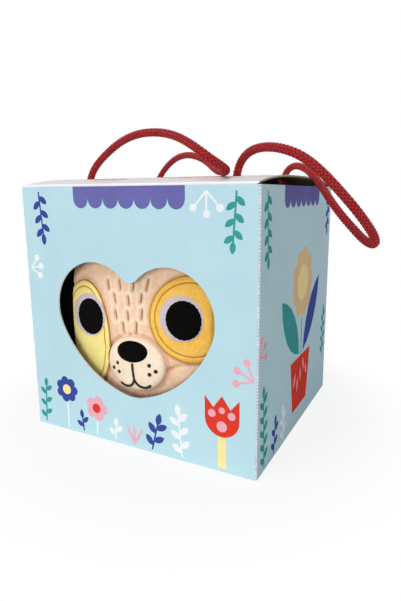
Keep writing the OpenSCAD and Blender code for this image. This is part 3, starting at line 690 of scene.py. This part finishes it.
def quiltDashes(q):
    dashes, draw = [], random.Random(q["seed"])
    for count, v in q["rows"]:
        for i in range(count):
            u = (i - (count - 1) / 2) * q["step"]
            lean = math.radians(q["lean"] * u + draw.uniform(-5, 5))
            tip = np.array([math.sin(-lean), math.cos(lean)]) * q["half"] * draw.uniform(0.85, 1.1)
            middle = np.array([u + q["middle"], v + 0.06 * abs(u)])
            middle += [draw.uniform(-q["wander"], q["wander"]), draw.uniform(-q["wander"], q["wander"])]
            dashes.append((middle - tip, middle + tip))
    return dashes


def fromDash(u, v, a, b):  # distance to the stretch from a to b
    t = np.clip(((u - a[0]) * (b[0] - a[0]) + (v - a[1]) * (b[1] - a[1])) / np.sum((b - a) ** 2), 0, 1)
    return np.hypot(u - a[0] - t * (b[0] - a[0]), v - a[1] - t * (b[1] - a[1]))


dashes = quiltDashes(quilting)
cheekFold = [np.array(p) for p in ((15.0, -21.5), (23.0, -18.0), (33.0, -14.8), (40.0, -13.5))]
patches = {"left": {"at": (-37.0, -2.0), "half": (20.0, 34.0), "turn": -4.0},
           "right": {"at": (37.0, 10.0), "half": (25.0, 24.5), "turn": 0.0}}


def faceDetail(x, z):  # how far back the fabric is pulled at each place, and the painted shade of its grooves and seams, below 0 for a painted highlight on its ridges
    u, v = toFace(x, z)
    back, shade = np.zeros_like(u), np.zeros_like(u)
    q, s = quilting, seams
    for a, b in dashes:
        d = fromDash(u, v, a, b)
        dent = np.exp(-(d / q["dentWidth"]) ** 2)
        ridge = np.exp(-((d - q["ridgeAt"]) / q["ridgeWidth"]) ** 2)
        back += q["dent"] * dent - q["ridge"] * ridge
        # painted shade in each quilting dent, and a painted highlight on the ridge around it
        shade += 0.55 * dent - 0.5 * ridge
    for a, b in zip(cheekFold, cheekFold[1:]):
        crease = np.exp(-(fromDash(u, v, a, b) / s["foldWidth"]) ** 2)
        # painted shade in the cheek's crease
        back, shade = np.maximum(back, s["foldDent"] * crease), shade + 0.3 * crease
    m = book["muzzleHalf"]
    off = np.hypot(u / (m[0] + s["muzzleOut"]), (v + book["muzzleDown"]) / (m[1] + s["muzzleOut"]))
    off = (off - 1) * m[1]
    seam = np.exp(-(off / s["muzzleWidth"]) ** 2)
    # painted shade along the muzzle's seam
    back, shade = back + s["muzzleDent"] * seam, shade + 0.5 * seam
    for p in patches.values():
        a = math.radians(p["turn"])
        du, dv = u - p["at"][0], v - p["at"][1]
        along, over = du * np.cos(a) + dv * np.sin(a), -du * np.sin(a) + dv * np.cos(a)
        off = (np.hypot(along / p["half"][0], over / p["half"][1]) - 1) * min(p["half"])
        seam = np.exp(-((off - s["patchOut"]) / s["patchWidth"]) ** 2)
        # painted shade along each eye patch's seam
        back, shade = back + s["patchDent"] * seam, shade + 0.35 * seam
    return back, shade


def edgeFall(d, edge, drop):  # how far a rounded edge falls back at distance d from its rim
    return drop * (1 - np.sqrt(1 - np.clip(1 - d / edge, 0, 1) ** 2))


stuffing = {"pinch": 0.8, "pinchWidth": 1.2, "lump": 16, "lumpDepth": 0.35, "lumpEdge": 6,
            "gussetSteps": 6, "gussetLump": 9, "gussetDepth": 0.4, "gussetIn": 0.5}


def pillow(centre, inside, front, back, count, edge, drop, detail=None, bulge=0.5, seed=0.0):
    # a stuffed cover with a front, a back and a gusset between two seams; front and back give y at (x, z)
    s = stuffing
    grid = np.linspace(-1, 1, count)
    a, b = np.meshgrid(grid, grid, indexing="ij")
    share, angle = np.maximum(np.abs(a), np.abs(b)), np.arctan2(b, a)
    radius = reach(inside, angle.ravel()).reshape(angle.shape)
    d = (1 - share) * radius
    x, z = centre[0] + share * radius * np.cos(angle), centre[1] + share * radius * np.sin(angle)
    fall = edgeFall(d, edge, drop)
    pinch = s["pinch"] * np.exp(-(d / s["pinchWidth"]) ** 2)
    soft = roughenFace(x, z, s["lump"], s["lumpDepth"], seed) * np.clip(d / s["lumpEdge"], 0, 1)
    dent, shade = detail(x, z) if detail else (0, x * 0)
    yFront = front(x, z) + fall + pinch * 0.4 + np.abs(soft) + dent
    yBack = back(x, z) - fall - pinch * 0.4 - np.abs(soft)
    points = [np.stack([x, yFront, z], -1).reshape(-1, 3), np.stack([x, yBack, z], -1).reshape(-1, 3)]
    number = np.arange(count * count).reshape(count, count)
    quads = np.stack([number[:-1, :-1], number[1:, :-1], number[1:, 1:], number[:-1, 1:]], -1).reshape(-1, 4)
    faces = quads.tolist() + (quads[:, ::-1] + count * count).tolist()
    rim = np.concatenate([number[:-1, 0], number[-1, :-1], number[:0:-1, -1], number[0, :0:-1]])
    loops = [rim]
    start = 2 * count * count
    for step in range(1, s["gussetSteps"]):
        t = step / s["gussetSteps"]
        ring = points[0][rim] * (1 - t) + points[1][rim] * t
        out = ring[:, [0, 2]] - np.array(centre)
        out /= np.linalg.norm(out, axis=1)[:, None]
        uneven = roughen(ring, s["gussetLump"], s["gussetDepth"], seed + 5)
        swell = bulge * math.sin(math.pi * t) + uneven * math.sin(math.pi * t)
        ring[:, [0, 2]] += out * swell[:, None] - out * s["gussetIn"]
        points.append(ring)
        loops.append(np.arange(start, start + len(rim)))
        start += len(rim)
    loops.append(rim + count * count)
    for one, two in zip(loops, loops[1:]):
        for k in range(len(rim)):
            n = (k + 1) % len(rim)
            faces.append((int(one[n]), int(one[k]), int(two[k]), int(two[n])))
    points = np.vstack(points)
    return points, faces, np.concatenate([shade.ravel(), np.zeros(len(points) - shade.size)])


headCentre = (book["shift"], (book["low"] + book["high"]) / 2)
headInside = boxInside(book["halfW"] - book["inset"], (book["high"] - book["low"]) / 2 - book["inset"],
                       book["corner"])


def flatAt(y):  # a flat back or front of a cover
    return lambda x, z: x * 0 + y


def makeHead(b):
    points, faces, shade = pillow(headCentre, headInside, crownY, flatAt(b["coverBack"] - 0.2), b["columns"],
                                  b["edge"], b["drop"], faceDetail)
    piece = addPiece("facePad", points, faces, [peachPlush], "plush_peach", shade=shade)
    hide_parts("face_cover")


makeHead(book)
print("face cover made")

ears = {"width": 18.5, "gap": 0.3, "low": 14.0, "high": 124.0, "proud": 1.4, "inset": 0.2, "columns": 61,
        "edge": 6, "drop": 6, "bulge": 0.4}


def makeEar(name, node, side, seed):
    e = ears
    middle = (book["shift"] + side * (book["halfW"] + e["gap"] + e["width"] / 2), (e["low"] + e["high"]) / 2)
    inside = boxInside(e["width"] / 2 - e["inset"], (e["high"] - e["low"]) / 2 - e["inset"],
                       e["width"] / 2 - 0.5)
    shape = pillow(middle, inside, lambda x, z: crownY(x, z, e["proud"]), flatAt(book["coverBack"] - 0.3),
                   e["columns"], e["edge"], e["drop"], None, e["bulge"], seed)
    ear = addPiece(name, *shape[:2], [blackPlush], "plush_black")
    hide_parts(node)


makeEar("leftEarPad", "left_ear", -1, 11)
makeEar("rightEarPad", "right_ear", 1, 23)


edgeSteps = (0, 0.15, 0.4, 0.75, 1.2, 1.9)  # distances of a sewn-on piece's outer rings from its rim


def patchMesh(u0, v0, radii, surface, height, inner, near=edgeSteps, sunk=-0.5):
    # a round-edged layer of fabric on a surface; height gives its lift at distance d from the rim, and its
    # underside is sunk below the surface
    count = len(radii)
    angles = roundTurn(count)
    rim = np.stack([radii * np.cos(angles), radii * np.sin(angles)])
    rimLength = np.concatenate([[0], np.cumsum(np.hypot(*np.diff(rim, axis=1)))])
    rings = [radii - d for d in near]
    rings += [rings[-1] * (1 - k / inner) for k in range(1, inner)]
    points, uv = [], []
    for k, r in enumerate([radii] + rings):
        x, z = fromFace(u0 + r * np.cos(angles), v0 + r * np.sin(angles))
        lift = height(radii - r, x, z) if k else np.full(count, sunk)
        points.append(np.stack([x, surface(x, z, lift), z], 1))
        uv.append(np.stack([rimLength, radii - r], 1))
    x, z = fromFace(np.full(count, u0), np.full(count, v0))
    for lift in (height(radii, x, z), np.full(count, sunk)):
        points.append(np.stack([x, surface(x, z, lift), z], 1)[:1])
        uv.append([[0, radii.min()]])
    faces = tubeFaces(len(rings) + 1, count)
    last = len(rings) * count
    top, bottom = last + count, last + count + 1
    faces += [(last + k, last + (k + 1) % count, top) for k in range(count)]
    faces += [((k + 1) % count, k, bottom) for k in range(count)]
    return np.vstack(points), faces, np.vstack(uv)


patchLook = {"count": 170, "inner": 16, "stitch": 0.9, "ridge": 0.55, "puff": 0.85,
             "line": 3.5, "lineWidth": 0.8, "lineDent": 0.5, "lineSoft": 0.55, "lump": 7, "lumpDepth": 0.2,
             "near": (0, 0.12, 0.3, 0.6, 0.9, 1.1, 1.5, 1.9, 2.3, 2.7, 3.1, 3.5, 3.65, 3.9, 4.15, 4.3, 4.5,
                      5, 6, 7.5)}


def makeEyePatch(name, node, side, cloth, seed):
    p, s = patches[side], patchLook
    u0, v0 = p["at"]
    whole = ovalInside(*p["half"], 0, 0, p["turn"])
    m = book["muzzleHalf"]
    muzzleHere = ovalInside(m[0] + 0.5, m[1] + 0.5, 0, -book["muzzleDown"])

    def inside(u, v):
        x, z = fromFace(u0 + u, v0 + v)
        return whole(u, v) & headInside(x - headCentre[0], z - headCentre[1]) & ~muzzleHere(u0 + u, v0 + v)
    angles = roundTurn(s["count"])
    radii = reach(inside, angles)
    gap = np.maximum(reach(whole, angles) - radii, 0)  # how much the muzzle or the head's side takes off

    def height(d, x, z):
        stitch = s["ridge"] * np.sqrt(np.clip(1 - (2 * d / s["stitch"] - 1) ** 2, 0.02, 1))
        field = s["puff"] * (1 - np.exp(-np.maximum(d - s["stitch"] * 0.7, 0) / 0.9))
        fromLine = d + gap - s["line"] - s["lineWidth"] / 2
        field = field - s["lineDent"] * np.exp(-(fromLine / s["lineSoft"]) ** 2)
        soft = roughen(np.stack([x, z, x * 0 + seed], -1), s["lump"], s["lumpDepth"])
        return np.where(d < s["stitch"], np.maximum(stitch, field), field + soft * np.clip(d - 1, 0, 1))

    def surface(x, z, lift):  # follows the head's rounded edge
        d = np.maximum(book["halfW"] - book["inset"] - np.abs(x - book["shift"]), 0)
        return crownY(x, z, lift) + edgeFall(d, book["edge"], book["drop"])
    points, faces, uv = patchMesh(u0, v0, radii, surface, height, s["inner"], s["near"])
    sewn = [0] * s["count"]  # 0 where a face is thread and 1 where it is cloth
    for d in s["near"][1:]:
        edge = (d <= s["stitch"]) & (gap < 0.2)
        line = (d + gap > s["line"]) & (d + gap <= s["line"] + s["lineWidth"])
        sewn += np.where(edge | line, 0, 1).tolist()
    sewn += [1] * (len(faces) - len(sewn) - s["count"]) + [0] * s["count"]
    patch = addPiece(name, points, faces, [amberThread, cloth], "plush_yellow", "carton", uv, sewn)
    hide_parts(node)


makeEyePatch("leftEyePatch", "left_eye_patch", "left", litYellowPlush, 3)
makeEyePatch("rightEyePatch", "right_eye_patch", "right", yellowPlush, 9)

eyes = {"x": 32.0, "up": 11.0, "white": (13.0, 13.0), "pupil": (10.4, 11.0), "look": 1.6, "layer": 0.9,
        "count": 96}


def makeEye(side, sign, seed):
    e = eyes
    angles = roundTurn(e["count"])
    white = reach(ovalInside(*e["white"]), angles)

    def whiteHeight(d, x, z):
        return e["layer"] + 0.75 * (1 - np.exp(-d / 0.7)) + roughenFace(x, z, 5, 0.1, seed)

    def pupilHeight(d, x, z):
        return 2 * e["layer"] - 0.25 + 0.95 * (1 - np.exp(-d / 0.6)) + roughenFace(x, z, 2.2, 0.14, seed)
    shape = patchMesh(sign * e["x"], e["up"], white, crownY, whiteHeight, 10)
    piece = addPiece(side + "EyeWhite", shape[0], shape[1], [eyeCloth], "felt_white", "carton", shape[2])
    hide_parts(side + "_eye_white")
    pupil = reach(ovalInside(*e["pupil"]), angles)
    pupil = pupil * (1 + 0.01 * np.sin(23 * angles + seed) + 0.007 * np.sin(41 * angles))
    shape = patchMesh(sign * e["x"] + e["look"], e["up"] - e["look"] / 2, pupil, crownY, pupilHeight, 12)
    piece = addPiece(side + "Pupil", shape[0], shape[1], [blackPlush], "felt_black", "carton", shape[2])
    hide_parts(side + "_pupil")


makeEye("left", -1, 2)
makeEye("right", 1, 6)


snout = {"count": 120, "roll": 2.0, "rollWidth": 0.8, "base": -0.9, "sunk": -3.6, "seamShade": 0.45,
         "nose": (10.5, 6.2), "noseGap": 2.4, "noseSunk": -1.6}


def muzzleHeight(d, x, z):  # rolls down to the face at its seam
    soft = roughenFace(x, z, 6, 0.25, 4) * np.clip(d / 3, 0, 1)
    return snout["base"] - snout["roll"] * np.exp(-d / snout["rollWidth"]) + soft


def noseHeight(d, x, z):
    return -0.7 + 0.7 * (1 - np.exp(-d / 0.8)) + roughenFace(x, z, 2.5, 0.1, 8)


def makeMuzzle(s):
    angles = roundTurn(s["count"])
    radii = reach(ovalInside(*book["muzzleHalf"]), angles)
    points, faces, uv = patchMesh(0, -book["muzzleDown"], radii, muzzleY, muzzleHeight, 22, sunk=s["sunk"])
    piece = addPiece("muzzlePad", points, faces, [creamPlush], "plush_cream", "carton", uv,
                     shade=s["seamShade"] * np.exp(-(uv[:, 1] / 0.7) ** 2))
    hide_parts("muzzle")
    nose = reach(ovalInside(*s["nose"]), angles)
    noseUp = book["muzzleHalf"][1] - s["nose"][1] - s["noseGap"]
    shape = patchMesh(0, noseUp - book["muzzleDown"], nose, muzzleY, noseHeight, 8, sunk=s["noseSunk"])
    piece = addPiece("noseCloth", shape[0], shape[1], [blackPlush], "felt_black", "carton", shape[2])
    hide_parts("nose")


makeMuzzle(snout)


def threadRibbon(route, width, high, surface, base):
    # a bead of satin stitches that follows a line on a surface
    line, along = smoothLine([(p[0], p[1], 0) for p in route], 0.3)
    ahead = np.gradient(line, axis=0)
    ahead /= np.linalg.norm(ahead, axis=1)[:, None]
    across = np.stack([-ahead[:, 1], ahead[:, 0]], 1)
    fromEnd = np.minimum(along, along[-1] - along) / (width / 2)
    ends = np.sqrt(np.clip(1 - np.clip(1 - fromEnd, 0, 1) ** 2, 0.02, 1))
    sides = 8
    points, uv = [], []
    for k in range(sides):
        a = 2 * math.pi * k / sides
        u = line[:, 0] + across[:, 0] * math.cos(a) * width / 2 * ends
        v = line[:, 1] + across[:, 1] * math.cos(a) * width / 2 * ends
        x, z = fromFace(u, v)
        points.append(np.stack([x, surface(x, z, base + high * math.sin(a) * ends), z], 1))
        uv.append(np.stack([along, np.full(len(along), width * (1 - math.cos(a)) / 2)], 1))
    faces = tubeFaces(len(line), sides) + tubeCaps(len(line), sides)
    return np.stack(points, 1).reshape(-1, 3), faces, np.stack(uv, 1).reshape(-1, 2)


mouth = {"line": 1.6, "high": 0.55, "base": -0.75, "curl": 6.0, "curlFrom": 190, "curlTo": 320, "down": 7.6,
         "stemStart": 0.4, "stemEnd": 2.6, "freckle": 1.2, "freckleSides": 24, "freckleSunk": -1.5,
         "freckles": ((11, 0.4), (14.6, -3), (10.6, -5))}


def freckleHeight(d, x, z):
    return -0.9 + 0.85 * np.sqrt(np.clip(d / mouth["freckle"], 0, 1))


def makeMouth(m):
    down = -book["muzzleDown"]
    top = down + (book["muzzleHalf"][1] - 2 * snout["nose"][1] - snout["noseGap"])
    foot = down - m["down"]
    stem = [(0, v) for v in (top - m["stemStart"], top - 2, foot + 1, foot - m["stemEnd"])]
    parts = [threadRibbon(stem, m["line"], m["high"], muzzleY, m["base"])]
    for side in (-1, 1):
        turn = np.radians(np.linspace(m["curlFrom"], m["curlTo"], 9))
        curl = [(side * (m["curl"] + m["curl"] * math.cos(t)), foot + m["curl"] * math.sin(t)) for t in turn]
        parts.append(threadRibbon(curl, m["line"], m["high"], muzzleY, m["base"]))
    points, faces, uv = joined(parts)
    piece = addPiece("mouthThread", points, faces, [blackThread], "thread_black", "carton", uv)
    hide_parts("mouth")
    radii = np.full(m["freckleSides"], m["freckle"])
    dots = [patchMesh(side * u, v + down, radii, muzzleY, freckleHeight, 3, (0, 0.1, 0.3), m["freckleSunk"])
            for side in (-1, 1) for u, v in m["freckles"]]
    points, faces, uv = joined(dots)
    piece = addPiece("freckleKnots", points, faces, [blackThread], "thread_black", "carton", uv)
    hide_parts("freckles")


makeMouth(mouth)


def dentY(x, z, lift):  # the bottom of the quilting's dents
    return crownY(x, z, lift) + quilting["dent"]


def makeQuilting(s):
    parts = [threadRibbon([a, (a * 2 + b) / 3, (a + b * 2) / 3, b], s["width"], s["high"], dentY, s["base"])
             for a, b in dashes]
    points, faces, uv = joined(parts)
    addPiece("foreheadStitches", points, faces, [tanThread], "plush_peach", "carton", uv)


makeQuilting(stitches)
print("face details made")

pages = {"count": 5, "thick": 13.0, "gap": 0.3, "first": -33.7, "halfW": 46.0, "low": 1.3, "high": 114.0,
         "corner": 6, "columns": 41, "edge": 12, "drop": 4.6, "bulge": 0.6, "seed": 30,
         "cloth": 1.0, "foldShare": 0.52, "foldInset": 3, "foldRings": 30, "foldWave": 0.25}


def pageFold(p, side, centreY):  # a rounded band of cloth from one leaf to the next
    outer = p["thick"] * p["foldShare"]
    turn = np.radians(np.linspace(-90, 90, 17))
    ring = [(book["shift"] + side * (p["halfW"] - 1 + r * math.cos(t)), centreY + r * math.sin(t))
            for r, angles in ((outer, turn), (outer - p["cloth"], turn[::-1])) for t in angles]
    heights = np.linspace(p["low"] + p["foldInset"], p["high"] - p["foldInset"], p["foldRings"])
    points = [(x, y + p["foldWave"] * math.sin(z / 5 + x), z) for z in heights for x, y in ring]
    size = len(heights), len(ring)
    faces = tubeFaces(*size) + tubeCaps(*size)
    return points, faces if side > 0 else [face[::-1] for face in faces]


def makePages(p):  # padded cloth leaves, joined by folds of cloth at alternate ends
    parts = []
    middle = (book["shift"], (p["low"] + p["high"]) / 2)
    inside = boxInside(p["halfW"], (p["high"] - p["low"]) / 2 - 0.2, p["corner"])
    for i in range(p["count"]):
        near = p["first"] + i * (p["thick"] + p["gap"])
        far = near + p["thick"]
        shape = pillow(middle, inside, flatAt(near + 0.1), flatAt(far - 0.1), p["columns"], p["edge"],
                       p["drop"], None, p["bulge"], p["seed"] + i)
        parts.append((*shape[:2], np.zeros((len(shape[0]), 2))))
        if i + 1 < p["count"]:
            fold = pageFold(p, 1 if i % 2 == 0 else -1, far + p["gap"] / 2)
            parts.append((*fold, np.zeros((len(fold[0]), 2))))
    points, faces, uv = joined(parts)
    piece = addPiece("foldedPages", points, faces, [pageCloth], "page_cloth", "carton", uv)
    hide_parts("book_pages")


makePages(pages)

backPad = {"voxel": 4.0, "start": 1.6, "pressure": 4.0, "cap": 5.0, "frames": 20, "clear": 0.1}


def makeBackCover(b):  # puffed up by a cloth simulation from the plain solid
    low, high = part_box("back_cover")
    mesh = cadNodes["back_cover"].data.copy()
    mesh.materials.clear()
    pad = bpy.data.objects.new("backPad", mesh)
    bpy.context.scene.collection.objects.link(pad)
    remesh = pad.modifiers.new("remesh", "REMESH")
    remesh.mode, remesh.voxel_size = "VOXEL", b["voxel"] * mm
    depsgraph = bpy.context.evaluated_depsgraph_get()
    pad.data = bpy.data.meshes.new_from_object(pad.evaluated_get(depsgraph))
    pad.modifiers.clear()
    rest = [v.co - v.normal * b["start"] * mm for v in pad.data.vertices]
    for v, place in zip(pad.data.vertices, rest):
        v.co = place
    cloth = pad.modifiers.new("cloth", "CLOTH")
    cloth.settings.use_pressure = True
    cloth.settings.uniform_pressure_force = b["pressure"]
    cloth.settings.effector_weights.gravity = 0
    cloth.point_cache.frame_end = b["frames"]
    for step in range(1, b["frames"] + 1):
        bpy.context.scene.frame_set(step)
    depsgraph = bpy.context.evaluated_depsgraph_get()
    puffed = bpy.data.meshes.new_from_object(pad.evaluated_get(depsgraph))
    pad.modifiers.clear()
    for v, place, moved in zip(pad.data.vertices, rest, puffed.vertices):
        way = moved.co - place
        v.co = place + way * min(1.0, b["cap"] * mm / max(way.length, 1e-9))
    bpy.context.scene.frame_set(1)
    for v in pad.data.vertices:
        for k in range(3):
            v.co[k] = min(max(v.co[k], low[k] + b["clear"] * mm), high[k] - b["clear"] * mm)
    smooth = pad.modifiers.new("smooth", "SUBSURF")
    smooth.levels = smooth.render_levels = 1
    pad.data.materials.append(peachPlush)
    pad.data.polygons.foreach_set("use_smooth", [True] * len(pad.data.polygons))
    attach(pad, "carton")
    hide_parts("back_cover")


makeBackCover(backPad)
print("pages and back cover made")
